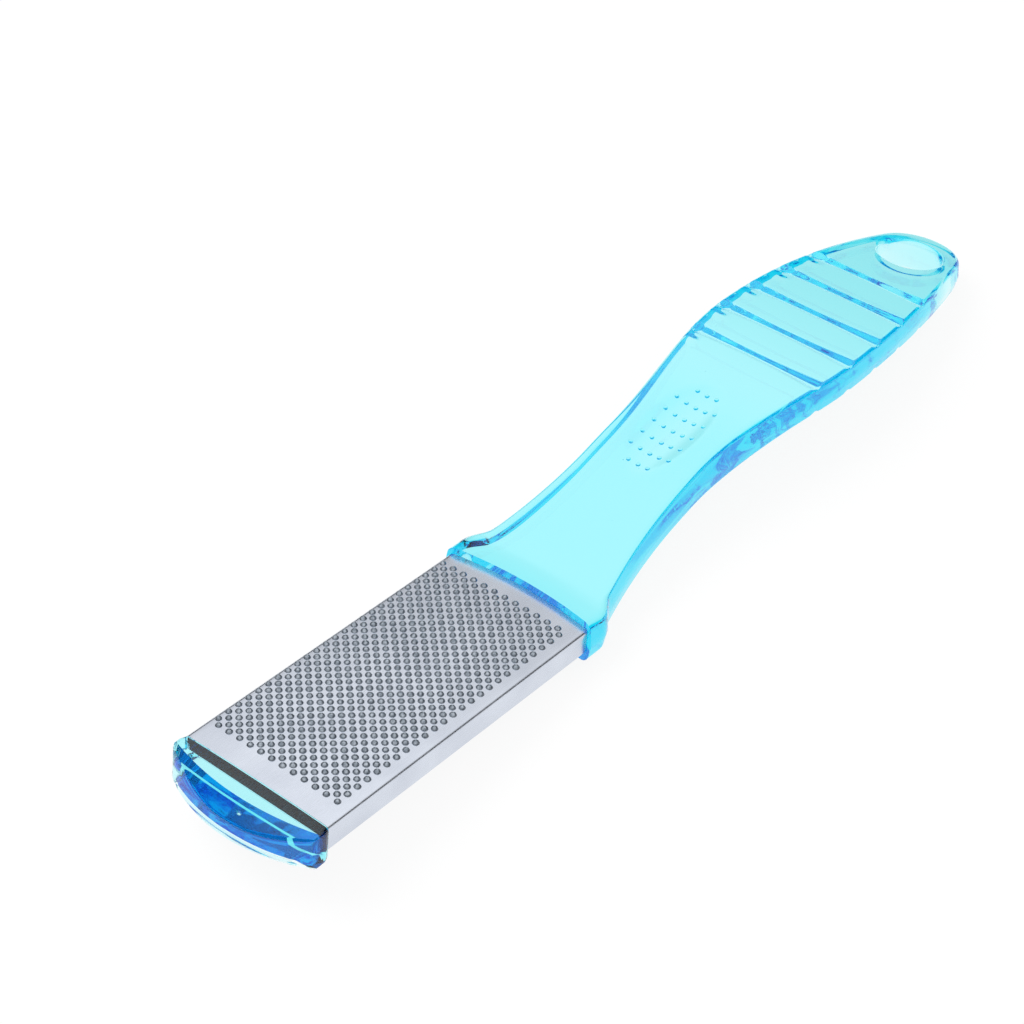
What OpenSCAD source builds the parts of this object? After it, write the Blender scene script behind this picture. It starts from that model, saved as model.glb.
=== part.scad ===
// Foot file: a clear moulded body with an arched handle, clad at its head with two pressed rasp plates.
// Lengths are in millimetres and angles in degrees.
// X runs from the nose to the tip of the handle, and each piece is drawn with the crest of the coarse
// plate at z = 0 and the front of the nose at x = 0. The whole tool is then turned to lie as it does
// on a table, on the back edge of its collar and the end of its handle.

/* [Head] */
// Width over the coarse plate's side flanges
head_width = 29.9; // [26:0.1:36]
// Thickness over both plates, at the middle of the head
head_thickness = 6.4; // [5.8:0.1:9]
// Length of the coarse plate along its sides, from the nose to the collar
plate_length = 63.7; // [60:0.1:80]
// Rise of each plate's middle above its sides
crown_rise = 0.4; // [0.2:0.05:0.8]
// How far the plates' back ends bow towards the collar at the middle
plate_bow = 1.2; // [0.4:0.1:2]
// Thickness of the pressed sheet
sheet = 0.4; // [0.3:0.05:0.6]
// Outer radius of the bend along each side
bend_radius = 1.2; // [1:0.1:1.8]
// Gap between a plate and what it lies on
seat_gap = 0.05; // [0.02:0.01:0.1]

/* [Coarse plate] */
// Height of the side flanges, from the crest of the plate down
coarse_flange = 4.9; // [4:0.1:5.2]
// Distance between teeth in one row, and between rows
coarse_pitch = 2.265; // [1.8:0.005:2.3]
// Diameter of a tooth at its foot
coarse_tooth_d = 1.3; // [0.8:0.05:1.4]
// Diameter of a tooth at its top
coarse_rim_d = 0.7; // [0.4:0.05:0.8]
// Height of a tooth above the plate
coarse_tooth_h = 0.45; // [0.2:0.05:0.6]
// Plain metal in front of the middle of the first row of teeth
coarse_margin = 5; // [3:0.1:6]
// Plain metal behind the middle of the last row of teeth
coarse_back = 3.1; // [2:0.1:6]
// Plain metal beside the field of teeth, on average
coarse_side = 1.9; // [1.6:0.1:4]
// How far the pressed field lies off the middle of the plate
coarse_shift = 0.8; // [0:0.1:1]

/* [Fine plate] */
// Height of the side flanges, which tuck inside the coarse plate's
fine_flange = 3; // [2:0.1:3.2]
// How much shorter the fine plate is at the collar
fine_setback = 4; // [1:0.1:6]
// Radius of the fine plate's corners at the collar
fine_corner = 2; // [1:0.1:4]
// Distance between teeth in one row, and between rows
fine_pitch = 2; // [1.5:0.05:2.1]
// Diameter of a tooth at its foot
fine_tooth_d = 0.9; // [0.5:0.05:1]
// Diameter of a tooth at its top
fine_rim_d = 0.45; // [0.3:0.05:0.5]
// Height of a tooth above the plate
fine_tooth_h = 0.25; // [0.1:0.05:0.4]
// Plain metal in front of the middle of the first row of teeth
fine_margin = 4.5; // [2:0.1:6]
// Plain metal behind the middle of the last row of teeth
fine_back = 4; // [3:0.1:8]
// Plain metal beside the field of teeth
fine_side = 2.9; // [2.5:0.1:5]

/* [Nose] */
// Length of the nose in front of the plates, at the middle
nose_length = 7.6; // [6:0.1:12]
// How far the nose stands out past the coarse plate's sides
nose_side = 0.4; // [0.2:0.05:0.8]
// How far the front corners lie behind the front
nose_sweep = 4.5; // [3.5:0.1:5]
// The same for the upper edge of the front
nose_top_sweep = 2.7; // [1.5:0.1:3.3]
// Radius of the front corners, seen from above
nose_corner = 2.6; // [1.5:0.1:3.5]
// How far the upper edge of the front lies behind the front
nose_lean = 3; // [1.5:0.1:4]
// Depth of the line where the front begins to lean back
nose_line = 3.4; // [2.5:0.1:4]
// How far the front lies back at that line
nose_step = 0.4; // [0.2:0.1:1]
// Radius of the lower edge of the front
nose_heel = 1.5; // [0.6:0.1:1.8]

/* [Collar] */
// Length of the collar behind the coarse plate's side edges
collar_length = 4.3; // [3.5:0.1:7]
// How far the collar stands out past the coarse plate's sides
collar_side = 1; // [0.5:0.1:2]
// How far the collar's middle stands above the coarse plate
collar_top = 1.3; // [0.8:0.1:2.5]
// How far the collar stands below the fine plate
collar_bottom = 1; // [0.5:0.1:2]
// Radius of the collar's long edges
collar_radius = 1.8; // [1:0.1:2.4]

/* [Handle] */
// Length of the tool from the nose to the tip, measured along the head
total_length = 203; // [200:0.1:212]
// Thickness of the handle behind the collar
neck_thickness = 8; // [7:0.1:9]
// Thickness of the grip
grip_thickness = 6.4; // [5.5:0.1:9]
// Radius of the rounded edges
edge_radius = 1; // [0.6:0.1:2]
// Taper of each side wall from the parting line to the rounded edge
side_taper = 0.35; // [0.1:0.05:0.6]
// Width at the waist
waist_width = 20.8; // [18:0.1:23]
// From the back of the collar to the waist
waist_distance = 27.2; // [26:0.1:30]
// Radius of the outline from the collar to the waist
waist_radius = 94; // [85:1:120]
// Straight stretch of the outline behind the waist
waist_straight = 4.9; // [2:0.1:8]
// Width at the widest point of the grip
grip_width = 30.8; // [27:0.1:33]
// From the waist to the widest point of the grip
grip_distance = 45.9; // [44:0.1:50]
// Radius of the tip, seen from above
tip_radius = 9.2; // [8.2:0.1:10.5]

/* [Arch] */
// Angle at which the neck rises from the head
neck_angle = 19; // [15:0.5:21]
// Radius of the bend behind the collar
neck_radius = 15.6; // [12:0.1:30]
// Length of the straight rise, measured along the head
neck_run = 20.7; // [14:0.1:24]
// Radius of the bend from the neck to the grip
shoulder_radius = 116; // [100:1:150]
// Slope at which the shoulder meets the grip
shoulder_angle = 7.3; // [6:0.1:10]
// Radius of the arch over the grip
grip_radius = 252; // [200:1:280]

/* [Grip] */
// Number of grooves across each face
groove_count = 5; // [3:1:5]
// Distance between grooves
groove_pitch = 9.3; // [8.5:0.05:10]
// Width of a groove
groove_width = 2.6; // [1.6:0.1:3.2]
// Depth of a groove
groove_depth = 0.8; // [0.4:0.1:1.2]
// From the first groove to the widest point of the grip
groove_lead = 10.8; // [10:0.1:14]

/* [Thumb rest] */
// From the waist to the middle of the thumb rest
rest_distance = 10.5; // [9:0.1:12]
// Length of the hollow
rest_length = 25; // [22:0.5:27]
// Width of the hollow
rest_width = 11; // [10:0.1:12]
// Depth of the hollow
rest_depth = 1.3; // [1:0.1:1.6]
// Distance between rows of pips
pip_row_pitch = 3.4; // [3:0.1:3.5]
// Distance between pips in a row
pip_pitch = 2.07; // [1.8:0.01:2.1]
// Diameter of a pip
pip_d = 0.9; // [0.6:0.05:1.1]
// Height of a pip
pip_h = 0.3; // [0.2:0.05:0.4]

/* [Hanging hole] */
// Diameter of the hole
hole_d = 12.3; // [9:0.1:12.6]
// From the tip of the handle to the middle of the hole
hole_distance = 11.4; // [9.5:0.1:13]

/* [Hidden] */

// Overrun of every cut, and overlap of what is fused
over = 0.5;
// How far the foot of a tooth or pip is sunk into what carries it
sink = 0.25;
$fn = 48;
tooth_fn = 16;
turned_fn = 180;

// Numbers of steps on the rounds
bend_steps = 5;
crown_steps = 6;
corner_steps = 4;
bow_steps = 8;
edge_steps = 4;
face_steps = 2;

// The head
head_half = head_width / 2;
clad = sheet + seat_gap;
crown_half = head_half - bend_radius;
crown_radius = (crown_half * crown_half + crown_rise * crown_rise) / (2 * crown_rise);
plate_front = nose_length;
plate_end = plate_front + plate_length;
fine_half = head_half - clad;
fine_end = plate_end - fine_setback;
step_depth = head_thickness - fine_flange - seat_gap;
nose_half = head_half + nose_side;
lowest = head_thickness + collar_bottom;
coarse_rows = floor((plate_length - coarse_margin - coarse_back) / coarse_pitch + 1 / 2);
coarse_across = floor((head_width - 2 * coarse_side) / coarse_pitch + 1 / 2);
fine_rows = floor((plate_length - fine_setback - fine_margin - fine_back) / fine_pitch + 1 / 2);
fine_across = floor(2 * (fine_half - fine_side) / fine_pitch + 1 / 2);

function reversed(list) = [for (i = [len(list) - 1 : -1 : 0]) list[i]];
function mirrored(list) = concat(list, reversed([for (p = list) if (p[0] > 0) [-p[0], p[1]]]));
function crown(y, inset) = sqrt(pow(crown_radius - inset, 2) - y * y) - crown_radius;

// Line over the top of a crowned channel, from one lower edge to the other
function channel_line(half, inset, depth) = let (chord = half - bend_radius, level = crown(chord, 0) - bend_radius,
    r = bend_radius - inset) mirrored(concat(
        [[half - inset, -depth]],
        [for (i = [0 : bend_steps - 1]) let (a = 90 * i / bend_steps) [chord + r * cos(a), level + r * sin(a)]],
        [for (i = [0 : crown_steps]) let (y = chord * (1 - i / crown_steps)) [y, crown(y, inset)]]));
function under(line, depth) = [for (p = line) [p[0], -depth - p[1]]];

module channel(half, depth) {
    polygon(concat(channel_line(half, 0, depth), reversed(channel_line(half, sheet, depth))));
}
module along(from, to) {
    translate([from, 0, 0]) rotate([90, 0, 90]) linear_extrude(to - from) children();
}
module underneath() {
    translate([0, 0, -head_thickness]) mirror([0, 0, 1]) children();
}

// Outline of an end that bows out to x = 0 at its middle, with round corners
function bow_radius(bow, half) = (half * half + bow * bow) / (2 * bow);
function bowed_end(bow, corner, half) = let (r = bow_radius(bow, half), a = asin((half - corner) / (r - corner)),
    centre = [(r - corner) * cos(a) - r, half - corner]) mirrored_y(concat(
        [for (i = [0 : corner_steps]) let (t = 90 + (a - 90) * i / corner_steps) centre + corner * [cos(t), sin(t)]],
        [for (i = [1 : bow_steps]) let (t = a * (1 - i / bow_steps)) [r * cos(t) - r, r * sin(t)]]));
function mirrored_y(list) = concat(list, reversed([for (p = list) if (p[1] > 0) [p[0], -p[1]]]));
module bowed_block(bow, corner, half, length) {
    translate([0, 0, -lowest - over]) linear_extrude(lowest + 2 * over)
        polygon(concat([[-length, half]], bowed_end(bow, corner, half), [[-length, -half]]));
}

// A field of teeth in two sets, the second half a pitch along and across from the first
module tooth_field(pitch, rows, across, foot_d, rim_d, height, start, shift) {
    for (i = [0 : rows - 1]) for (j = [0 : across - 1]) for (k = [0, 1 / 2]) {
        y = shift + (j + k - (across - 1 / 2) / 2) * pitch;
        translate([start + (i + k) * pitch, y, crown(y, 0) - sink])
            cylinder(d1 = foot_d + (foot_d - rim_d) * sink / height, d2 = rim_d, h = height + sink, $fn = tooth_fn);
    }
}

// The handle's stations along the length
collar_half = head_half + collar_side;
collar_end = plate_end + collar_length;
flare_end = collar_end + collar_length;
waist_x = collar_end + waist_distance;
grip_x = waist_x + grip_distance;
rest_x = waist_x + rest_distance;
waist_half = waist_width / 2;
grip_half = grip_width / 2;
tip_centre = total_length - tip_radius;
tip_reach = tip_centre - grip_x;
grip_arc = (grip_half * grip_half + tip_reach * tip_reach - tip_radius * tip_radius)
    / (2 * (grip_half - tip_radius));
tip_angle = atan2(grip_arc - grip_half, tip_reach);
tip_start = tip_centre + tip_radius * cos(tip_angle);

// The arch of the upper face, as tangent arcs and one straight rise
bend_start = collar_end + collar_side;
rise_start = bend_start + neck_radius * sin(neck_angle);
rise_z = collar_top + neck_radius * (1 - cos(neck_angle));
shoulder_start = rise_start + neck_run;
shoulder_z = rise_z + neck_run * tan(neck_angle);
shoulder_end = shoulder_start + shoulder_radius * (sin(neck_angle) - sin(shoulder_angle));
shoulder_end_z = shoulder_z + shoulder_radius * (cos(shoulder_angle) - cos(neck_angle));
crest_x = shoulder_end + grip_radius * sin(shoulder_angle);
crest_z = shoulder_end_z + grip_radius * (1 - cos(shoulder_angle));

function ease(t) = (1 - cos(180 * min(1, max(0, t)))) / 2;
function arc_over(x, middle, radius) = sqrt(pow(radius, 2) - pow(x - middle, 2)) - radius;
shoulder_x = shoulder_start + shoulder_radius * sin(neck_angle);
shoulder_top = shoulder_z + shoulder_radius * (1 - cos(neck_angle));
function arch(x) =
    x < bend_start ? collar_top :
    x < rise_start ? collar_top - arc_over(x, bend_start, neck_radius) :
    x < shoulder_start ? rise_z + (x - rise_start) * tan(neck_angle) :
    x < shoulder_end ? shoulder_top + arc_over(x, shoulder_x, shoulder_radius) :
    crest_z + arc_over(x, crest_x, grip_radius);

// The collar is deeper than the handle and has tighter edges, and the neck draws in behind it
collar_thickness = collar_top + lowest;
function neck_share(x) = min(1, max(0, (x - collar_end) / (flare_end - collar_end)));
function thickness(x) = collar_thickness + (neck_thickness - collar_thickness) * neck_share(x)
    + (grip_thickness - neck_thickness) * ease((x - rest_x) / (groove_first - rest_x));
function edge(x) = collar_radius + (edge_radius - collar_radius) * neck_share(x);

function waist_curve(x) = waist_half - arc_over(x, waist_x, waist_radius);
function half_width(x) =
    x < flare_end ? collar_half
        + (waist_curve(x) - collar_half) * ease((x - collar_end + collar_side) / (collar_length + collar_side)) :
    x < waist_x ? waist_curve(x) :
    x < grip_x ? waist_half
        + (grip_half - waist_half) * ease((x - waist_x - waist_straight) / (grip_distance - waist_straight)) :
    grip_half + arc_over(x, grip_x, grip_arc);

// The grooves, as depths below the plain faces
groove_first = grip_x - groove_lead;
groove_last = groove_first + (groove_count - 1) * groove_pitch;
function groove(x) = let (i = min(groove_count - 1, max(0, round((x - groove_first) / groove_pitch))),
    off = abs(x - groove_first - i * groove_pitch))
    off < groove_width / 2 ? groove_depth * pow(cos(180 * off / groove_width), 2) : 0;

// Ribs of the handle: each has its outline point, the direction inwards from there and, on the last
// one, how far the middle of its face lies past the sides
collar_shares = [0, 0.3, 0.6, 0.8, 1];
flare_shares = [0.25, 0.5, 0.75, 1];
groove_shares = [-0.5, -0.3, -0.15, 0.15, 0.3, 0.5];
neck_ribs = 11;
grip_ribs = 6;
tail_ribs = 3;
tip_steps = 7;
tip_last = 4;

function side_rib(x) = let (slope = (half_width(x + sink) - half_width(x - sink)) / (2 * sink),
    size = sqrt(1 + slope * slope)) [x, half_width(x), slope / size, -1 / size, 0];
function tip_rib(a) = [tip_centre + tip_radius * cos(a), tip_radius * sin(a), -cos(a), -sin(a),
    a > tip_last ? 0 : (tip_radius - edge_radius) * (1 - cos(a))];
groove_start = groove_first - groove_width;
tail_start = groove_last + groove_width;
places = concat(
    [for (s = collar_shares) plate_end + s * collar_length],
    [for (s = flare_shares) collar_end + s * collar_length],
    [for (i = [1 : neck_ribs]) flare_end + (shoulder_end - flare_end) * i / neck_ribs],
    [for (i = [1 : grip_ribs]) shoulder_end + (groove_start - shoulder_end) * i / grip_ribs],
    [for (i = [0 : groove_count - 1]) for (s = groove_shares) groove_first + i * groove_pitch + s * groove_width],
    [for (i = [0 : tail_ribs - 1]) tail_start + (tip_start - tail_start) * i / tail_ribs]);
ribs = concat(
    [for (x = places) side_rib(x)],
    [for (i = [0 : tip_steps]) tip_rib(tip_angle + (tip_last - tip_angle) * i / tip_steps)]);

// The upper or lower half of a rib, from its parting line to the middle, as [x, y, z]
function crown_drop(x, y) = crown_rise * pow(y / head_half, 2) * (1 - neck_share(x));
function edge_inset(x, i) = side_taper + edge(x) * (1 - cos(90 * i / edge_steps));
function edge_drop(x, i) = edge(x) * (1 - sin(90 * i / edge_steps));
function rib_point(rib, i, share) = let (d = edge_inset(rib[0], i))
    [rib[0] + rib[2] * d + rib[4] * (1 - share * share), (rib[1] + rib[3] * d) * share];
function depth_at(x, drop) = sqrt(pow(drop, 2) + pow(groove(x), 2));
function upper(p, drop) = [p[0], p[1], arch(p[0]) - depth_at(p[0], drop) - crown_drop(p[0], p[1])];
function lower(p, drop) = [p[0], p[1],
    arch(p[0]) - thickness(p[0]) + depth_at(p[0], drop) + crown_drop(p[0], p[1])];
function upper_half(rib) = concat(
    [for (i = [0 : edge_steps]) upper(rib_point(rib, i, 1), edge_drop(rib[0], i))],
    [for (i = [1 : face_steps]) upper(rib_point(rib, edge_steps, 1 - i / face_steps), 0)]);
function lower_half(rib) = concat(
    [for (i = [0 : edge_steps]) lower(rib_point(rib, i, 1), edge_drop(rib[0], i))],
    [for (i = [1 : face_steps]) lower(rib_point(rib, edge_steps, 1 - i / face_steps), 0)]);
function parting(rib) = [rib[0], rib[1], arch(rib[0]) - thickness(rib[0]) / 2];

// From the middle of the upper face, down the left side to the middle of the lower face, and back
function other_side(list) = [for (p = list) [p[0], -p[1], p[2]]];
function rib_loop(rib) = let (left = concat(reversed(upper_half(rib)), [parting(rib)], lower_half(rib)),
    n = len(left)) concat(left, other_side([for (i = [n - 2 : -1 : 1]) left[i]]));

// Triangles of a skin over loops of n points, with both ends closed across from left to right
function turned(face, flip) = flip ? [face[0], face[2], face[1]] : face;
function end_faces(base, n, flip) = concat(
    [turned([base, base + 1, base + n - 1], flip)],
    [for (i = [1 : n / 2 - 2]) for (f = [[i, i + 1, n - i - 1], [i, n - i - 1, n - i]])
        turned([for (v = f) base + v], flip)],
    [turned([base + n / 2 - 1, base + n / 2, base + n / 2 + 1], flip)]);
function skin_faces(loops, n) = concat(
    [for (k = [0 : loops - 2]) for (i = [0 : n - 1]) let (a = k * n + i, b = k * n + (i + 1) % n)
        for (f = [[a, b, a + n], [b, b + n, a + n]]) f],
    end_faces(0, n, true), end_faces((loops - 1) * n, n, false));
module skin(loops) {
    n = len(loops[0]);
    polyhedron(points = [for (l = loops) for (p = l) p], faces = skin_faces(len(loops), n), convexity = 10);
}

// The thumb rest is hollowed by a ring, laid on the slope of the shoulder
rest_tilt = asin((shoulder_x - rest_x) / shoulder_radius);
rest_curve = 1 / (2 * rest_depth / pow(rest_length / 2, 2) - 1 / shoulder_radius);
rest_round = (pow(rest_width / 2, 2) + pow(rest_depth, 2)) / (2 * rest_depth);
rest_ring = rest_curve - rest_round;
function hollow_z(x, y) = rest_curve - rest_depth
    - sqrt(pow(rest_ring + sqrt(pow(rest_round, 2) - y * y), 2) - x * x);
pip_counts = [3, 5, 5, 5, 5, 5, 3];
pip_rim_d = pip_d / 2;
module on_rest() {
    translate([rest_x, 0, arch(rest_x)]) rotate([0, -rest_tilt, 0]) children();
}
module rest_hollow() {
    translate([0, 0, rest_curve - rest_depth]) rotate([90, 0, 0])
        rotate_extrude($fn = turned_fn) translate([rest_ring, 0]) circle(r = rest_round);
}
module pips() {
    for (i = [0 : len(pip_counts) - 1]) for (j = [0 : pip_counts[i] - 1]) {
        x = (i - (len(pip_counts) - 1) / 2) * pip_row_pitch;
        y = (j - (pip_counts[i] - 1) / 2) * pip_pitch;
        translate([x, y, hollow_z(x, y) - sink])
            cylinder(d1 = pip_d, d2 = pip_rim_d, h = pip_h + sink, $fn = tooth_fn);
    }
}

// Rest on a table: the collar's back edge and one of the tip's lower points touch it
last_rib = ribs[len(ribs) - 1];
tip_points = lower_half(last_rib);
collar_foot = [collar_end, -lowest];
lean = min([for (p = tip_points) atan2(p[2] - collar_foot[1], p[0] - collar_foot[0])]);
lift = collar_foot[0] * sin(lean) - collar_foot[1] * cos(lean);
function level_x(x, z) = x * cos(lean) + z * sin(lean);
heel_points = [for (i = [0 : corner_steps]) let (a = 90 * i / corner_steps)
    [nose_heel * (1 - cos(a)), nose_heel * (1 - sin(a)) - lowest]];
front = min([for (p = heel_points) level_x(p[0], p[1])]);
back = max([for (p = concat(upper_half(last_rib), tip_points, [parting(last_rib)])) level_x(p[0], p[2])]);
module at_rest() {
    translate([-(front + back) / 2, 0, lift]) rotate([0, lean, 0]) children();
}

// The front of the nose is turned about two upright axes, which the bows of its edges give
module turned_front(radius, line) {
    translate([radius, 0, 0]) rotate_extrude($fn = turned_fn)
        polygon(concat([[0, -lowest]], [for (p = line) [radius - p[0], p[1]]], [[0, line[len(line) - 1][1]]]));
}
module nose() {
    line = channel_line(nose_half, 0, lowest / 2);
    lean_slope = (nose_lean - nose_step) / nose_line;
    intersection() {
        along(0, plate_front) polygon(concat(line, reversed(under(line, lowest))));
        mirror([1, 0, 0]) bowed_block(nose_sweep, nose_corner, nose_half, plate_front);
        turned_front(bow_radius(nose_sweep, nose_half),
            concat(reversed(heel_points), [[nose_step, -nose_line], [nose_step, over]]));
        turned_front(bow_radius(nose_top_sweep, nose_half),
            [[nose_lean - lean_slope * lowest, -lowest], [nose_lean + lean_slope * over, over]]);
    }
}

module core() {
    above = channel_line(head_half, clad, step_depth);
    below = channel_line(fine_half, clad, head_thickness - step_depth);
    along(plate_front - over, collar_end - collar_length / 2)
        polygon(concat(above, reversed(under(below, head_thickness))));
}

module handle() {
    difference() {
        skin([for (r = ribs) rib_loop(r)]);
        translate([plate_end + plate_bow + seat_gap - bow_radius(plate_bow, head_half), 0, -collar_thickness])
            cylinder(r = bow_radius(plate_bow, head_half), h = 2 * collar_thickness, $fn = turned_fn);
        on_rest() rest_hollow();
    }
}

module body() {
    color("deepskyblue", 0.6) at_rest() difference() {
        union() {
            handle();
            core();
            nose();
            on_rest() pips();
        }
        translate([total_length - hole_distance, 0, 0]) cylinder(d = hole_d, h = 2 * crest_z, center = true);
    }
}

module coarse_plate() {
    color("silver") at_rest() {
        intersection() {
            along(plate_front + seat_gap, plate_end + plate_bow + over) channel(head_half, coarse_flange);
            translate([plate_end + plate_bow, 0, 0])
                bowed_block(plate_bow, sheet, head_half + over, plate_length + plate_bow);
        }
        tooth_field(coarse_pitch, coarse_rows, coarse_across, coarse_tooth_d, coarse_rim_d, coarse_tooth_h,
            plate_front + coarse_margin, coarse_shift);
    }
}

module fine_plate() {
    color("silver") at_rest() underneath() {
        intersection() {
            along(plate_front + seat_gap, fine_end + plate_bow + over) channel(fine_half, fine_flange);
            translate([fine_end + plate_bow, 0, over])
                bowed_block(plate_bow, fine_corner, fine_half, plate_length + plate_bow);
        }
        tooth_field(fine_pitch, fine_rows, fine_across, fine_tooth_d, fine_rim_d, fine_tooth_h,
            plate_front + fine_margin, 0);
    }
}

body();
coarse_plate();
fine_plate();
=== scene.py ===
"""Looks of the foot file: a clear tinted moulding with two pressed rasp plates.

Pieces are drawn in millimetres as part.scad draws them, with X from the nose to the tip and the crest of
the coarse plate at z = 0, then laid down as the tool rests on a table and turned to metres.
"""

import math
import random

import bmesh
import bpy
from mathutils import Matrix, Vector


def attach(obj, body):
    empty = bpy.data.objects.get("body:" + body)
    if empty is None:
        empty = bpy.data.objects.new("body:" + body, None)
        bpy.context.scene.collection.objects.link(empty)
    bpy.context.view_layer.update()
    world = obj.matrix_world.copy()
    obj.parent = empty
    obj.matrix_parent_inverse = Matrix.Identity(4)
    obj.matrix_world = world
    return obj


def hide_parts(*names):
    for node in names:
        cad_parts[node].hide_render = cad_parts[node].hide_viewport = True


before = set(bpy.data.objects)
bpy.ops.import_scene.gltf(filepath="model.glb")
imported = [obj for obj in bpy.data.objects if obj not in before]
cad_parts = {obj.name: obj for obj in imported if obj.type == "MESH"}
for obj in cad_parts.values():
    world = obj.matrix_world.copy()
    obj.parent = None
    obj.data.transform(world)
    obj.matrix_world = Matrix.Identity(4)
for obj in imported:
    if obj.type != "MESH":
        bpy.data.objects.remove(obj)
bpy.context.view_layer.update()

# Sizes in millimetres, as in part.scad. Notes mark the few that differ from it, and those that only the
# looks have

# the head, which both plates wrap
HEAD_HALF = 14.95
HEAD_THICKNESS = 6.4
PLATE_FRONT = 7.6
PLATE_END = 71.3
PLATE_BOW = 1.2
SHEET = 0.4
SEAT_GAP = 0.05
CROWN_RISE = 0.25  # part.scad has 0.4
BEND_RADIUS = 0.8  # part.scad has 1.2
HEAD_TAPER = 0.02  # looks only
COARSE_FLANGE = 4.9
FINE_FLANGE = 3.0
FINE_SETBACK = 4.0
FINE_CORNER = 2.0
LOWEST = 7.4

# the teeth: widths of the foot and the rim, height, spacing and place. part.scad has them 0.45 and 0.25 high
COARSE_TEETH = dict(foot=1.3, rim=0.7, height=0.53, pitch=2.265, rows=25, across=12,
                    start=PLATE_FRONT + 5.0, shift=0.8, seed=3)
FINE_TEETH = dict(foot=0.9, rim=0.45, height=0.3, pitch=2.0, rows=26, across=12,
                  start=PLATE_FRONT + 4.5, shift=0, seed=5)

# the nose
NOSE_HALF = 15.35
NOSE_SWEEP = 4.5
NOSE_TOP_SWEEP = 2.7
NOSE_CORNER = 3.2  # part.scad has 2.6
NOSE_LEAN = 3.0
NOSE_LINE = 3.4
NOSE_STEP = 0.4
NOSE_HEEL = 1.5
NOSE_SOFT = 0.25  # looks only: how soft the edges between its three faces are

# looks only: a recess under the nose, inside a lip whose inner wall leans forward. The front wall then sends
# light on into the core and shows deep blue. Where the lip's wall and its lean start and how long they take
# are shares of the way from the front of the nose to the plates
RECESS = 1.2
RECESS_HALF = 12.6
RECESS_SIDE = 1.4
RECESS_HEIGHT = 3
LIP_HOOK = 0.8
LIP_START = 0.15
LIP_RUN = 0.1
HOOK_START = 0.2
HOOK_RUN = 0.3

# the collar
COLLAR_HALF = 15.95
COLLAR_LENGTH = 4.3
COLLAR_TOP = 1.3
COLLAR_SIDE = 1.0
COLLAR_RADIUS = 1.8
COLLAR_END = PLATE_END + COLLAR_LENGTH
FLARE_END = COLLAR_END + COLLAR_LENGTH

# the handle
TIP = 202.97  # part.scad has 203, and this is a hair short to stay inside its box
EDGE_RADIUS = 1.0
SIDE_TAPER = 0.35
WAIST_X = 102.8
WAIST_HALF = 10.4
WAIST_RADIUS = 94.0
WAIST_STRAIGHT = 4.9
GRIP_X = 148.7
GRIP_HALF = 15.4
TIP_RADIUS = 9.2
NECK_THICKNESS = 8.0
GRIP_THICKNESS = 6.4
NECK_ANGLE = math.radians(19)
NECK_RADIUS = 15.6
NECK_RUN = 20.7
SHOULDER_RADIUS = 116.0
SHOULDER_ANGLE = math.radians(7.3)
GRIP_RADIUS = 252.0

# the grooves
GROOVES = 5
GROOVE_FIRST = 137.9
GROOVE_PITCH = 9.3
GROOVE_WIDTH = 2.6
GROOVE_DEPTH = 0.8

# looks only: shares of a groove's width and depth in the middle of a face, and what they gain towards its
# outline. Then where the upper grooves run out and the lower ones begin, and over how much of the half width
GROOVE_WIDTH_SHARES = (0.75, 0.7)
GROOVE_DEPTH_SHARES = (0.6, 0.4)
UPPER_GROOVE_ENDS = (0.92, 0.08)
LOWER_GROOVE_BEGINS = (0.82, 0.15)

# the thumb rest
REST_X = 113.3
REST_LENGTH = 25.0
REST_WIDTH = 11.0
REST_DEPTH = 1.3
PIP_COUNTS = [3, 5, 5, 5, 5, 5, 3]
PIP_ROW_PITCH = 3.4
PIP_PITCH = 2.07
PIP_D = 0.9
PIP_H = 0.35  # part.scad has 0.3

# the hanging hole
HOLE_X = 191.6
HOLE_D = 12.3
HOLE_RIM = 1.0  # looks only: the radius that its rims are rolled to

# looks only: air trapped in the moulding, one bubble in the nose and specks in the neck
NOSE_BUBBLE = (2.3, -1.8, -2.2)
NOSE_BUBBLE_RADIUS = 0.42
SPECKS = 9
SPECK_X = (84, 132)
SPECK_Y = (-6, 6)
SPECK_DEPTH = (2.5, 6)
SPECK_RADIUS = (0.05, 0.11)
BUBBLE_STRETCH = (0.8, 1.2, 0.8)

# How the tool lies on a table, as part.scad works it out: its lean, its lift and the middle of its length
LEAN = math.radians(6.23009)
LIFT = 15.5605
MIDDLE = (202.793 - 0.640277) / 2
AT_REST = Matrix.Translation((-MIDDLE, 0, LIFT)) @ Matrix.Rotation(LEAN, 4, "Y")
MM = Matrix.Scale(0.001, 4)

SMOOTH = math.radians(35)  # an edge that turns more than this stays sharp
MERGE = 0.004  # points nearer than this become one


# ---- the lines that the body follows

def arc_over(x, middle, radius):
    """Height of an arc against its crest: 0 over the middle, and below 0 beside it."""
    return math.sqrt(radius * radius - (x - middle) ** 2) - radius


def ease(t):
    """Smooth step from 0 to 1."""
    return (1 - math.cos(math.pi * min(1, max(0, t)))) / 2


def bow_radius(bow, half):
    """Radius of an arc that bows this far over a chord of twice the half."""
    return (half * half + bow * bow) / (2 * bow)


# the round tip meets the arc of the grip where both lean the same way
TIP_CENTRE = TIP - TIP_RADIUS
REACH = TIP_CENTRE - GRIP_X
GRIP_ARC = (GRIP_HALF ** 2 + REACH ** 2 - TIP_RADIUS ** 2) / (2 * (GRIP_HALF - TIP_RADIUS))
TIP_ANGLE = math.atan2(GRIP_ARC - GRIP_HALF, REACH)


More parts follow.
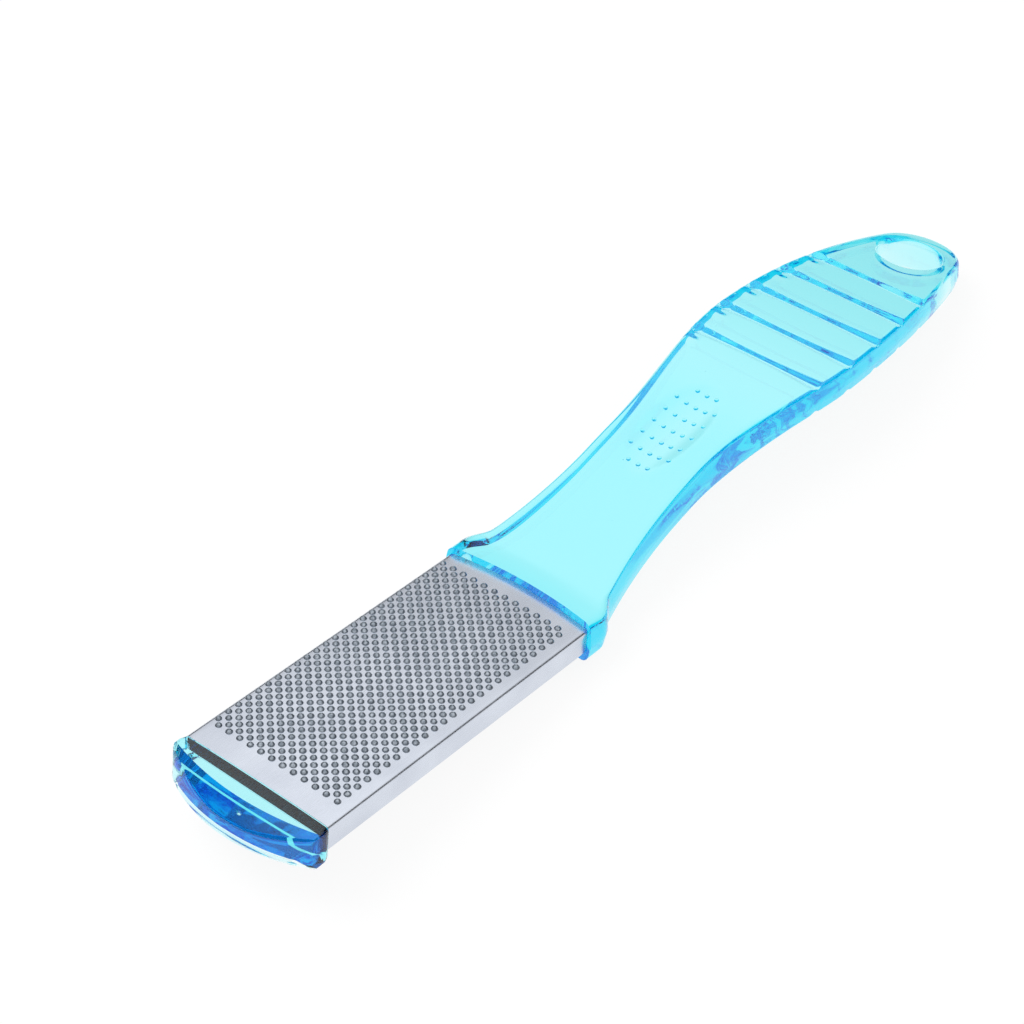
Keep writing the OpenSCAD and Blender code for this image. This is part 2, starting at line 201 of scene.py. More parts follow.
def half_width(x):
    """Half width of the handle at a station."""
    waist = WAIST_HALF - arc_over(min(x, WAIST_X), WAIST_X, WAIST_RADIUS)
    if x < FLARE_END:
        flare = ease((x - COLLAR_END + COLLAR_SIDE) / (COLLAR_LENGTH + COLLAR_SIDE))
        return COLLAR_HALF + (waist - COLLAR_HALF) * flare
    if x < WAIST_X:
        return waist
    if x < GRIP_X:
        swell = ease((x - WAIST_X - WAIST_STRAIGHT) / (GRIP_X - WAIST_X - WAIST_STRAIGHT))
        return WAIST_HALF + (GRIP_HALF - WAIST_HALF) * swell
    return GRIP_HALF + arc_over(x, GRIP_X, GRIP_ARC)


# the arch of the upper face, as tangent arcs and one straight rise
BEND_START = COLLAR_END + COLLAR_SIDE
RISE_START = BEND_START + NECK_RADIUS * math.sin(NECK_ANGLE)
RISE_Z = COLLAR_TOP + NECK_RADIUS * (1 - math.cos(NECK_ANGLE))
SHOULDER_START = RISE_START + NECK_RUN
SHOULDER_Z = RISE_Z + NECK_RUN * math.tan(NECK_ANGLE)
SHOULDER_END = SHOULDER_START + SHOULDER_RADIUS * (math.sin(NECK_ANGLE) - math.sin(SHOULDER_ANGLE))
SHOULDER_END_Z = SHOULDER_Z + SHOULDER_RADIUS * (math.cos(SHOULDER_ANGLE) - math.cos(NECK_ANGLE))
SHOULDER_X = SHOULDER_START + SHOULDER_RADIUS * math.sin(NECK_ANGLE)
SHOULDER_TOP = SHOULDER_Z + SHOULDER_RADIUS * (1 - math.cos(NECK_ANGLE))
CREST_X = SHOULDER_END + GRIP_RADIUS * math.sin(SHOULDER_ANGLE)
CREST_Z = SHOULDER_END_Z + GRIP_RADIUS * (1 - math.cos(SHOULDER_ANGLE))


def arch(x):
    """Height of the upper face of the collar and the handle at a station."""
    if x < BEND_START:
        return COLLAR_TOP
    if x < RISE_START:
        return COLLAR_TOP - arc_over(x, BEND_START, NECK_RADIUS)
    if x < SHOULDER_START:
        return RISE_Z + (x - RISE_START) * math.tan(NECK_ANGLE)
    if x < SHOULDER_END:
        return SHOULDER_TOP + arc_over(x, SHOULDER_X, SHOULDER_RADIUS)
    return CREST_Z + arc_over(x, CREST_X, GRIP_RADIUS)


def neck_share(x):
    """0 up to the collar's end, 1 where the neck begins."""
    return min(1, max(0, (x - COLLAR_END) / COLLAR_LENGTH))


def thickness(x):
    """From the upper face to the lower one: deepest at the collar, and thinner again behind the rest."""
    full = COLLAR_TOP + LOWEST
    thinner = ease((x - REST_X) / (GROOVE_FIRST - REST_X))
    return full + (NECK_THICKNESS - full) * neck_share(x) + (GRIP_THICKNESS - NECK_THICKNESS) * thinner


def edge_radius(x):
    return COLLAR_RADIUS + (EDGE_RADIUS - COLLAR_RADIUS) * neck_share(x)


def groove(x, share):
    """Depth of the grooves: share is 0 in the middle of the face and 1 at the outline, where they open out."""
    i = min(GROOVES - 1, max(0, round((x - GROOVE_FIRST) / GROOVE_PITCH)))
    off = abs(x - GROOVE_FIRST - i * GROOVE_PITCH)
    width = GROOVE_WIDTH * (GROOVE_WIDTH_SHARES[0] + GROOVE_WIDTH_SHARES[1] * share ** 2)
    depth = GROOVE_DEPTH * (GROOVE_DEPTH_SHARES[0] + GROOVE_DEPTH_SHARES[1] * share ** 2)
    return depth * math.cos(math.pi * off / width) ** 2 if off < width / 2 else 0


def crown(y):
    """Height of the plates' slightly crowned face, 0 at its crest."""
    radius = bow_radius(CROWN_RISE, HEAD_HALF - BEND_RADIUS)
    return math.sqrt(radius ** 2 - y * y) - radius


# the hollow of the thumb rest is cut by a ring laid on the slope of the shoulder
REST_TILT = math.asin((SHOULDER_X - REST_X) / SHOULDER_RADIUS)
REST_CURVE = 1 / (2 * REST_DEPTH / (REST_LENGTH / 2) ** 2 - 1 / SHOULDER_RADIUS)
REST_ROUND = ((REST_WIDTH / 2) ** 2 + REST_DEPTH ** 2) / (2 * REST_DEPTH)
REST_RING = REST_CURVE - REST_ROUND
NO_HOLLOW = 99  # a height over everything, where the ring doesn't reach


def hollow_z(x, y):
    """Height of the hollow over the slope, x along the slope from the middle of the rest."""
    tube = REST_ROUND ** 2 - y * y
    if tube <= 0:
        return NO_HOLLOW
    reach = (REST_RING + math.sqrt(tube)) ** 2 - x * x
    return REST_CURVE - REST_DEPTH - math.sqrt(reach) if reach > 0 else NO_HOLLOW


def rest_place(x, y):
    """Height of the hollow over a station and side, in the tool's own frame. It settles in a few steps."""
    c, s = math.cos(REST_TILT), math.sin(REST_TILT)
    up = 0.0
    for _ in range(4):
        along = (x - REST_X + up * s) / c
        up = hollow_z(along, y)
        if up == NO_HOLLOW:
            return NO_HOLLOW
    return arch(REST_X) + along * s + up * c


# ---- small helpers for meshes

def piece(name, bm, materials):
    """Lays a mesh drawn in millimetres on the table and gives it to the frame."""
    bm.transform(MM @ AT_REST)
    mesh = bpy.data.meshes.new(name)
    bm.to_mesh(mesh)
    bm.free()
    mesh.shade_smooth()
    mesh.set_sharp_from_angle(angle=SMOOTH)
    obj = bpy.data.objects.new(name, mesh)
    bpy.context.scene.collection.objects.link(obj)
    for material in materials:
        mesh.materials.append(material)
    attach(obj, "root")
    return obj


def edges_among(bm, verts):
    return [e for e in bm.edges if e.verts[0] in verts and e.verts[1] in verts]


def rings(bm, loops):
    """Draws a tube: the first loop is bent from a circle, and each next one is extruded from it and moved."""
    made = bmesh.ops.create_circle(bm, segments=len(loops[0]), radius=1)["verts"]
    for v, place in zip(made, loops[0]):
        v.co = place
    edges = edges_among(bm, made)
    first = list(made)
    for loop in loops[1:]:
        out = bmesh.ops.extrude_edge_only(bm, edges=edges)["geom"]
        old = made
        made = []
        for v in old:
            made.append(next(e.other_vert(v) for e in v.link_edges if e.other_vert(v) in out))
        for v, place in zip(made, loop):
            v.co = place
        edges = [g for g in out if isinstance(g, bmesh.types.BMEdge)
                 and g.verts[0] in made and g.verts[1] in made]
    return first, made


def solid_object(name, bm):
    """Turns a mesh into an object for a boolean, with its faces outwards."""
    mesh = bpy.data.meshes.new(name)
    bmesh.ops.recalc_face_normals(bm, faces=bm.faces)
    bm.to_mesh(mesh)
    bm.free()
    obj = bpy.data.objects.new(name, mesh)
    bpy.context.scene.collection.objects.link(obj)
    return obj


def joined(bm, tools):
    """Runs exact booleans on a mesh: each tool is a mesh and UNION or DIFFERENCE."""
    base = solid_object("blank", bm)
    for i, (tool, how) in enumerate(tools):
        mod = base.modifiers.new("cut%d" % i, "BOOLEAN")
        mod.operation, mod.object, mod.solver = how, solid_object("tool%d" % i, tool), "EXACT"
    bpy.context.view_layer.update()
    mesh = bpy.data.meshes.new_from_object(base.evaluated_get(bpy.context.evaluated_depsgraph_get()))
    out = bmesh.new()
    out.from_mesh(mesh)
    for obj in [m.object for m in base.modifiers] + [base]:
        bpy.data.objects.remove(obj)
    return out


# ---- the clear body, drawn as one skin of loops from the middle of the nose's front to the tip

# steps of a section: across each face, round each edge and down each half of a wall
ACROSS = 26
ROUND = 6
WALL = 2

# steps along the body, as counts, shares of the nose's depth and millimetres
FRONT_RINGS = 22
NOSE_SHARES = (0.08, 0.15, 0.175, 0.2, 0.225, 0.25, 0.35, 0.5, 0.75, 1)
CORE_STEPS = 8
LIP_STEP = 0.3
FLARE_STEP = 0.45
PLAIN_STEP = 1.0
GROOVE_STEP = 0.26
TILE_STEP = 0.9
GROOVE_REACH = 0.75  # how many widths from its middle a groove is drawn finely
TIP_CLEAR = 2.0  # the plain sections stop this far before the round tip, whose first loop reaches back
TIP_RINGS = 26


def section(half, top, bottom, radius, taper, drop):
    """Rounded section from the middle of the upper face, over the left edge, round to the start."""
    flat = half - taper - radius
    upper = []
    for i in range(ACROSS // 2 + 1):
        y = flat * i / (ACROSS // 2)
        upper.append((y, top - drop(y)))
    for i in range(1, ROUND + 1):
        a = math.pi / 2 * i / ROUND
        upper.append((flat + radius * math.sin(a), top - drop(flat) - radius * (1 - math.cos(a))))
    middle = (top + bottom) / 2
    start = upper[-1][1]
    for i in range(1, WALL + 1):
        t = i / WALL
        upper.append((half - taper * (1 - t), start + (middle - start) * t))
    lower = [(y, bottom + (top - z)) for y, z in reversed(upper[:-1])]
    left = upper + lower
    right = [(-y, z) for y, z in reversed(left[1:-1])]
    return left + right


def head_section(half, top, bottom, radius):
    """Section of the head, crowned as the plates are."""
    return section(half, top, bottom, radius, HEAD_TAPER, lambda y: -crown(y))


def soft_max(a, b):
    """The larger of two, with the edge between them rounded."""
    return max(a, b) + max(0, NOSE_SOFT - abs(a - b)) ** 2 / (4 * NOSE_SOFT)


def nose_front(y, z):
    """How far back the front of the nose lies at a side and a height."""
    # the bowed wall, with its round heel
    wall_bow = bow_radius(NOSE_SWEEP, NOSE_HALF)
    rise = min(1, max(0, (z + LOWEST - NOSE_HEEL) / (LOWEST - NOSE_HEEL - NOSE_LINE)))
    heel = max(0, min(NOSE_HEEL, NOSE_HEEL - LOWEST - z))
    back = NOSE_STEP * rise + NOSE_HEEL - math.sqrt(NOSE_HEEL ** 2 - heel ** 2)
    wall = wall_bow - math.sqrt((wall_bow - back) ** 2 - y * y)
    # the face over it that leans back to the plate
    top_bow = bow_radius(NOSE_TOP_SWEEP, NOSE_HALF)
    lean = NOSE_LEAN + z * (NOSE_LEAN - NOSE_STEP) / NOSE_LINE
    top = top_bow - math.sqrt((top_bow - lean) ** 2 - y * y)
    # the round corners, tangent to the wall's bow
    corner = 0
    corner_y = NOSE_HALF - NOSE_CORNER
    if abs(y) > corner_y:
        a = math.asin(corner_y / (wall_bow - NOSE_CORNER))
        corner_x = wall_bow - (wall_bow - NOSE_CORNER) * math.cos(a)
        corner = corner_x - math.sqrt(max(0, NOSE_CORNER ** 2 - (abs(y) - corner_y) ** 2))
    return soft_max(soft_max(wall, top), corner)


def nose_loops():
    """From the middle of the front out to its edge, then back over the nose to the plates."""
    outline = head_section(NOSE_HALF, 0, -LOWEST, BEND_RADIUS)
    middle = -LOWEST / 2
    loops = []
    for k in range(1, FRONT_RINGS + 1):
        s = math.sin(math.pi / 2 * k / FRONT_RINGS)
        ring = [(y * s, middle + (z - middle) * s) for y, z in outline]
        loops.append([(nose_front(y, z), y, z) for y, z in ring])
    for t in NOSE_SHARES:
        draw = 1 - (NOSE_HALF - HEAD_HALF - SEAT_GAP) / NOSE_HALF * ease(2 * t - 1)
        ring = []
        for y, z in outline:
            # inside the lip the underside is nearly as high as the core's, and the lip's wall leans forward
            inside = ease((t - LIP_START) / LIP_RUN) * (1 - ease((abs(y) - RECESS_HALF) / RECESS_SIDE))
            low = ease((-z - LOWEST / 2) / RECESS_HEIGHT) * RECESS * inside
            hook = LIP_HOOK * low / RECESS * (1 - ease((t - HOOK_START) / HOOK_RUN))
            front_x = nose_front(y, z)
            ring.append((front_x + (PLATE_FRONT - front_x) * t - hook, y * draw, z + low))
        loops.append(ring)
    return loops


def collar_face(y):
    """Where the collar's face stands, close behind the bowed end of the coarse plate."""
    bow = bow_radius(PLATE_BOW, HEAD_HALF)
    return PLATE_END + PLATE_BOW + SEAT_GAP - bow + math.sqrt(bow * bow - min(abs(y), HEAD_HALF) ** 2)


def core_loops():
    """The core between the plates, and the face of the collar behind them."""
    inset = SHEET + SEAT_GAP
    core = head_section(HEAD_HALF - inset, -inset, -HEAD_THICKNESS + inset, BEND_RADIUS - inset + SEAT_GAP)
    loops = [[(PLATE_FRONT, y, z) for y, z in core]]
    for k in range(1, CORE_STEPS + 1):
        loops.append([(PLATE_FRONT + (collar_face(y) - PLATE_FRONT) * k / CORE_STEPS, y, z) for y, z in core])
    loops.append([(collar_face(y), y, z) for _, y, z in handle_loop(PLATE_END)])
    return loops


def handle_loop(x):
    """One section of the collar or the handle, with the grooves sunk in it square to the arch."""
    half, top, thick = half_width(x), arch(x), thickness(x)
    drop = lambda y: CROWN_RISE * (y / HEAD_HALF) ** 2 * (1 - neck_share(x))
    loop = []
    for y, z in section(half, top, top - thick, edge_radius(x), SIDE_TAPER, drop):
        upper = z > top - thick / 2
        share = min(1, abs(y) / half)
        # the upper grooves run out before the outline, and the lower ones only scallop the edges
        edge, run = UPPER_GROOVE_ENDS if upper else LOWER_GROOVE_BEGINS
        fade = ease((share - edge) / run)
        sunk = groove(x, share) * (1 - fade if upper else fade)
        away = (top - z) if upper else (z - top + thick)
        near = math.sqrt(away ** 2 + sunk ** 2) - away
        z += -near if upper else near
        loop.append((x, y, z))
    return loop


def handle_stations():
    """Stations of the handle's sections, close together over the flare and in the grooves."""
    stations = [PLATE_END + PLATE_BOW + SEAT_GAP + LIP_STEP]
    while stations[-1] < FLARE_END:
        stations.append(stations[-1] + FLARE_STEP)
    while stations[-1] < GROOVE_FIRST - GROOVE_WIDTH:
        stations.append(stations[-1] + PLAIN_STEP)
    while stations[-1] < GROOVE_FIRST + (GROOVES - 0.5) * GROOVE_PITCH:
        x = stations[-1]
        near = min(abs(x - GROOVE_FIRST - i * GROOVE_PITCH) for i in range(GROOVES))
        stations.append(x + (GROOVE_STEP if near < GROOVE_WIDTH * GROOVE_REACH else TILE_STEP))
    tip_start = TIP_CENTRE + TIP_RADIUS * math.cos(TIP_ANGLE)
    while stations[-1] < tip_start - TIP_CLEAR:
        stations.append(stations[-1] + PLAIN_STEP)
    return stations


def tip_loops():
    """The round end: each loop is a section swung towards the middle, and the last one closes on it."""
    outline = section(TIP_RADIUS, 0, -GRIP_THICKNESS, EDGE_RADIUS, SIDE_TAPER, lambda y: 0)
    widest = TIP_RADIUS - SIDE_TAPER - EDGE_RADIUS
    loops = []
    for k in range(TIP_RINGS + 1):
        a = TIP_ANGLE * (1 - k / TIP_RINGS)
        ring = []
        for y, z in outline:
            reach = widest + max(abs(y) - widest, 0)
            x = TIP_CENTRE + reach * math.cos(a)
            share = min(1, abs(y) / widest)
            ring.append((x, math.copysign(reach * math.sin(a) * share, y), arch(x) + z))
        loops.append(ring)
    return loops


REST_SKIN = 0.5  # only points that lie this near to the arch, or over it, belong to the upper face


def draw_body():
    bm = bmesh.new()
    handle = [handle_loop(x) for x in handle_stations()]
    first, _ = rings(bm, nose_loops() + core_loops() + handle + tip_loops())
    bmesh.ops.contextual_create(bm, geom=edges_among(bm, first))
    bmesh.ops.poke(bm, faces=[f for f in bm.faces if len(f.verts) > 4])
    # the upper face is pressed down into the hollow of the thumb rest
    for v in bm.verts:
        x, y, z = v.co
        if abs(x - REST_X) < REST_LENGTH and abs(y) < REST_WIDTH and z > arch(x) - REST_SKIN:
            v.co.z = min(z, rest_place(x, y))
    bmesh.ops.remove_doubles(bm, verts=bm.verts, dist=MERGE)
    bmesh.ops.recalc_face_normals(bm, faces=bm.faces)
    return bm


HOLE_SEGMENTS = 96
RIM_STEPS = 6
# the cutter stands out of both faces, and is a hair wider there, so that none of its faces lies in theirs
HOLE_PROUD = 2
HOLE_WIDER = 0.05
HOLE_START = 0.02


def draw_hole():
    """The hole's shape as a solid, with both rims rolled over."""
    profile = [(HOLE_RIM + HOLE_WIDER, -HOLE_PROUD), (HOLE_RIM, -HOLE_START)]
    for k in range(1, RIM_STEPS + 1):
        a = math.pi / 2 * k / RIM_STEPS
        profile.append((HOLE_RIM * (1 - math.sin(a)), HOLE_RIM * (1 - math.cos(a))))
    profile += [(wider, GRIP_THICKNESS - deep) for wider, deep in reversed(profile)]
    turn = [2 * math.pi * i / HOLE_SEGMENTS for i in range(HOLE_SEGMENTS)]
    loops = []
    for wider, deep in profile:
        r = HOLE_D / 2 + wider
        round_hole = [(HOLE_X + r * math.cos(a), r * math.sin(a)) for a in turn]
        loops.append([(x, y, arch(x) - deep) for x, y in round_hole])
    bm = bmesh.new()
    for end in rings(bm, loops):
        bmesh.ops.contextual_create(bm, geom=[e for e in edges_among(bm, end) if e.is_boundary])
    return bm


def draw_pips():
    """Low domes in rows over the hollow of the thumb rest."""
    bm = bmesh.new()
    for i, count in enumerate(PIP_COUNTS):
        for j in range(count):
            x = (i - (len(PIP_COUNTS) - 1) / 2) * PIP_ROW_PITCH
            y = (j - (count - 1) / 2) * PIP_PITCH
            made = bmesh.ops.create_uvsphere(bm, u_segments=16, v_segments=8, radius=PIP_D / 2)["verts"]
            bmesh.ops.scale(bm, verts=made, vec=(1, 1, PIP_H / (PIP_D / 2)))
            bmesh.ops.translate(bm, verts=made, vec=(x, y, hollow_z(x, y)))
            bmesh.ops.rotate(bm, verts=made, cent=(0, 0, 0), matrix=Matrix.Rotation(-REST_TILT, 3, "Y"))
            bmesh.ops.translate(bm, verts=made, vec=(REST_X, 0, arch(REST_X)))
    return bm


def draw_bubbles():
    """Air trapped in the moulding: one bubble shows in the nose, and a few specks sit in the neck."""
    bm = bmesh.new()
    luck = random.Random(11)
    spots = [(NOSE_BUBBLE, NOSE_BUBBLE_RADIUS)]
    for _ in range(SPECKS):
        x, y = luck.uniform(*SPECK_X), luck.uniform(*SPECK_Y)
        spots.append(((x, y, arch(x) - luck.uniform(*SPECK_DEPTH)), luck.uniform(*SPECK_RADIUS)))
    for spot, radius in spots:
        made = bmesh.ops.create_uvsphere(bm, u_segments=14, v_segments=8, radius=radius)["verts"]
        bmesh.ops.scale(bm, verts=made, vec=BUBBLE_STRETCH)
        bmesh.ops.translate(bm, verts=made, vec=spot)
    return bm


# ---- the rasp plates

FLANGE_STEPS = 4
BEND_STEPS = 8
CROWN_STEPS = 18
CHANNEL_ROWS = 24

# A tooth from its foot up: radius as a share of the foot's or the rim's width, and height as a share
TOOTH_FOOT = ((0.45, 0.2),)
TOOTH_RIM = ((0.66, 0.55), (0.4, 0.86), (0.24, 1), (0.12, 0.86))
TOOTH_SEGMENTS = 10
TOOTH_SINK = 0.05

# How unevenly the punch leaves the teeth: shares of the width and the height, and the lean in radians
TOOTH_WIDTHS = (0.94, 1.05)
TOOTH_HEIGHTS = (0.88, 1.0)
TOOTH_TURN = (0, 6.28)
TOOTH_LEAN = (-0.09, 0.09)


def channel_path(half, flange):
    """Points over a crowned channel, from its left lower edge to its right one."""
    chord = half - BEND_RADIUS
    level = crown(chord) - BEND_RADIUS
    left = []
    for i in range(FLANGE_STEPS):
        left.append((half, -flange + (flange + level) * i / FLANGE_STEPS))
    for i in range(BEND_STEPS):
        a = math.pi / 2 * i / BEND_STEPS
        left.append((chord + BEND_RADIUS * math.cos(a), level + BEND_RADIUS * math.sin(a)))
    for i in range(CROWN_STEPS + 1):
        y = chord * (1 - i / CROWN_STEPS)
        left.append((y, crown(y)))
    return left + [(-y, z) for y, z in reversed(left[:-1])]


def draw_channel(half, flange, end, corner):
    """A flat blank is bent over the crown and down both sides, cut to its bowed end, and given its thickness."""
    path = channel_path(half, flange)
    front = PLATE_FRONT + SEAT_GAP
    bow = bow_radius(PLATE_BOW, HEAD_HALF)
    bm = bmesh.new()
    bmesh.ops.create_grid(bm, x_segments=CHANNEL_ROWS, y_segments=len(path) - 1, size=1)
    for v in bm.verts:
        along = (v.co.x + 1) / 2
        y, z = path[round((v.co.y + 1) / 2 * (len(path) - 1))]
        back = end + math.sqrt(bow * bow - min(abs(y), HEAD_HALF) ** 2) - bow + PLATE_BOW
        past = -z - (flange - corner)
        if abs(y) > half - BEND_RADIUS and past > 0:
            # the flange's free corner is rounded off
            back -= corner - math.sqrt(max(0, corner ** 2 - past ** 2))
        v.co = (front + (back - front) * along, y, z)
    bmesh.ops.recalc_face_normals(bm, faces=bm.faces)
    if sum(f.normal.z for f in bm.faces) < 0:
        bmesh.ops.reverse_faces(bm, faces=bm.faces)
    bmesh.ops.solidify(bm, geom=bm.faces, thickness=SHEET)
    bmesh.ops.recalc_face_normals(bm, faces=bm.faces)
    return bm


def tooth_mesh(foot, rim, height):
    """One punched tooth: a blunt cone with a pit in its top, closed under its foot, which sinks in the sheet."""
    bm = bmesh.new()
    radius = foot / 2
    bmesh.ops.create_circle(bm, segments=TOOTH_SEGMENTS, radius=radius, cap_ends=True)
    edges = list(bm.edges)
    wall = [(foot * r, height * z) for r, z in TOOTH_FOOT] + [(rim * r, height * z) for r, z in TOOTH_RIM]
    for r, z in wall:
        out = bmesh.ops.extrude_edge_only(bm, edges=edges)["geom"]
        made = [g for g in out if isinstance(g, bmesh.types.BMVert)]
        edges = [g for g in out if isinstance(g, bmesh.types.BMEdge)
                 and g.verts[0] in made and g.verts[1] in made]
        bmesh.ops.scale(bm, verts=made, vec=(r / radius, r / radius, 1))
        bmesh.ops.translate(bm, verts=made, vec=(0, 0, z - made[0].co.z))
        radius = r
    bmesh.ops.contextual_create(bm, geom=edges)
    for v in bm.verts:
        if v.co.z == 0:
            v.co.z = -TOOTH_SINK
    bmesh.ops.recalc_face_normals(bm, faces=bm.faces)
    mesh = bpy.data.meshes.new("tooth")
    bm.to_mesh(mesh)
    bm.free()
    return mesh


def add_teeth(bm, foot, rim, height, pitch, rows, across, start, shift, seed):
    """Two sets of teeth, the second half a pitch on in both directions, each tooth a little uneven."""
    tooth = tooth_mesh(foot, rim, height)
    luck = random.Random(seed)
    for i in range(rows):
        for j in range(across):
            for k in (0, 0.5):
                y = shift + (j + k - (across - 0.5) / 2) * pitch
                width = luck.uniform(*TOOTH_WIDTHS)
                copy = tooth.copy()
                copy.transform(Matrix.Translation((start + (i + k) * pitch, y, crown(y)))
                               @ Matrix.Rotation(luck.uniform(*TOOTH_TURN), 4, "Z")
                               @ Matrix.Rotation(luck.uniform(*TOOTH_LEAN), 4, "X")
                               @ Matrix.Diagonal((width, width, luck.uniform(*TOOTH_HEIGHTS), 1)))
                bm.from_mesh(copy)
                bpy.data.meshes.remove(copy)


def draw_rasp(half, flange, end, corner, teeth):
    """A toothed plate, facing up: the channel takes the first material and the teeth the second."""
    bm = draw_channel(half, flange, end, corner)
    sheet_faces = len(bm.faces)
    add_teeth(bm, **teeth)
    bm.faces.ensure_lookup_table()
    for f in bm.faces[sheet_faces:]:
        f.material_index = 1
    return bm


# ---- materials. A texture's scale counts its cells in a metre

def linear(hexa):
    """sRGB hex to the linear colour that a shader takes."""
    out = []
    for i in (0, 2, 4):
        c = int(hexa[i:i + 2], 16) / 255
        out.append(c / 12.92 if c <= 0.04045 else ((c + 0.055) / 1.055) ** 2.4)
    return (*out, 1)


def node(tree, kind, links=(), **settings):
    """Adds a node, sets its inputs and properties, and links (input, from node, output) into it."""
    n = tree.nodes.new(kind)
    for key, value in settings.items():
        if hasattr(n, key):
            setattr(n, key, value)
        else:
            n.inputs[key.replace("_", " ")].default_value = value
    for into, other, out in links:
        tree.links.new(other.outputs[out], n.inputs[into])
    return n


def new_material(name):
    m = bpy.data.materials.new(name)
    m.use_nodes = True
    m.node_tree.nodes.clear()
    return m, m.node_tree


def set_tones(ramp, *tones):
    for element, (place, colour) in zip(ramp.elements, tones):
        element.position = place
        element.color = linear(colour)


def clear_plastic():
    """Polished clear polystyrene with a cyan-blue dye: thin parts are pale cyan, long paths deep blue."""
    m, t = new_material("polished clear blue styrene")
    place = node(t, "ShaderNodeTexCoord")
    # slow swells of the moulding, about 4.5 mm from one to the next, bend its reflections a little
    flow = node(t, "ShaderNodeTexNoise", [("Vector", place, "Object")], Scale=220.0, Detail=2.0)
    haze = node(t, "ShaderNodeMapRange", [("Value", flow, "Fac")], To_Min=0.0, To_Max=0.035)
    swell = node(t, "ShaderNodeBump", [("Height", flow, "Fac")], Strength=0.06, Distance=0.0002)
    shade = node(t, "ShaderNodeBsdfPrincipled", [("Roughness", haze, "Result"), ("Normal", swell, "Normal")],
                 Base_Color=(1, 1, 1, 1), Transmission_Weight=1, IOR=1.55)
    dye = node(t, "ShaderNodeVolumeAbsorption", Color=linear("73F8FE"), Density=150.0)
    node(t, "ShaderNodeOutputMaterial", [("Surface", shade, "BSDF"), ("Volume", dye, "Volume")])
    return m


def sheet_steel():
    """Pressed stainless sheet, tumbled to a satin: pale grey, soft reflections, fine grain along the head."""
    m, t = new_material("satin pressed stainless")
    place = node(t, "ShaderNodeTexCoord")
    # grain 2.5 mm long and 0.25 mm across, several times coarser than real so that it shows
    grain_map = node(t, "ShaderNodeMapping", [("Vector", place, "Object")], Scale=(400, 4000, 4000))
    grain = node(t, "ShaderNodeTexNoise", [("Vector", grain_map, "Vector")], Scale=1.0, Detail=3.0)
    # faint clouds about 8 mm across, from the press and from handling
    cloud = node(t, "ShaderNodeTexNoise", [("Vector", place, "Object")], Scale=120.0, Detail=2.0)
    rough = node(t, "ShaderNodeMapRange", [("Value", grain, "Fac")], To_Min=0.22, To_Max=0.32)
    tone = node(t, "ShaderNodeValToRGB", [("Fac", cloud, "Fac")])
    set_tones(tone.color_ramp, (0.3, "CED4E0"), (0.7, "DAE0EB"))
    bump = node(t, "ShaderNodeBump", [("Height", grain, "Fac")], Strength=0.03, Distance=0.00005)
    shade = node(t, "ShaderNodeBsdfPrincipled",
                 [("Base Color", tone, "Color"), ("Roughness", rough, "Result"), ("Normal", bump, "Normal")],
                 Metallic=1)
    node(t, "ShaderNodeOutputMaterial", [("Surface", shade, "BSDF")])
    return m


def tooth_steel_painted_shade():
    """The punched teeth: the same steel, rougher than the sheet from the punch, and painted darker as painted
    shade for the shade on their walls.
    """
    m, t = new_material("punched stainless with painted shade")
    place = node(t, "ShaderNodeTexCoord")
    # specks of 0.4 mm, a third of a tooth's width
    speck = node(t, "ShaderNodeTexNoise", [("Vector", place, "Object")], Scale=2500.0, Detail=2.0)
    tone = node(t, "ShaderNodeValToRGB", [("Fac", speck, "Fac")])
    # painted shade: both tones sit well below the sheet's, so the teeth show the shade of their walls; the
    # specks between them vary at random
    set_tones(tone.color_ramp, (0.35, "7A838D"), (0.7, "B2BAC3"))
    shade = node(t, "ShaderNodeBsdfPrincipled", [("Base Color", tone, "Color")], Metallic=1, Roughness=0.38)
    node(t, "ShaderNodeOutputMaterial", [("Surface", shade, "BSDF")])
    return m


plastic = clear_plastic()
steel = sheet_steel()
# the teeth's steel, painted darker as painted shade on their walls
tooth_steel_shade = tooth_steel_painted_shade()

# ---- the pieces

moulding = joined(draw_body(), [(draw_pips(), "UNION"), (draw_hole(), "DIFFERENCE"),
                                (draw_bubbles(), "DIFFERENCE")])
body = piece("clear_body", moulding, [plastic])
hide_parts("body")

coarse = draw_rasp(HEAD_HALF, COARSE_FLANGE, PLATE_END, 0, COARSE_TEETH)
coarse_plate = piece("coarse_rasp", coarse, [steel, tooth_steel_shade])
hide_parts("coarse_plate")

# the fine plate goes inside the coarse one's flanges and is turned over to the underside
fine = draw_rasp(HEAD_HALF - SHEET - SEAT_GAP, FINE_FLANGE, PLATE_END - FINE_SETBACK, FINE_CORNER, FINE_TEETH)
bmesh.ops.scale(fine, verts=fine.verts, vec=(1, 1, -1))
bmesh.ops.translate(fine, verts=fine.verts, vec=(0, 0, -HEAD_THICKNESS))
bmesh.ops.reverse_faces(fine, faces=fine.faces)
fine_plate = piece("fine_rasp", fine, [steel, tooth_steel_shade])
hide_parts("fine_plate")


# ---- studio

FLOOR_HALF = 3  # metres
FLOOR_DROP = 0.0002
FLOOR_BRIGHTNESS = 0.9  # as the camera and the metal see it


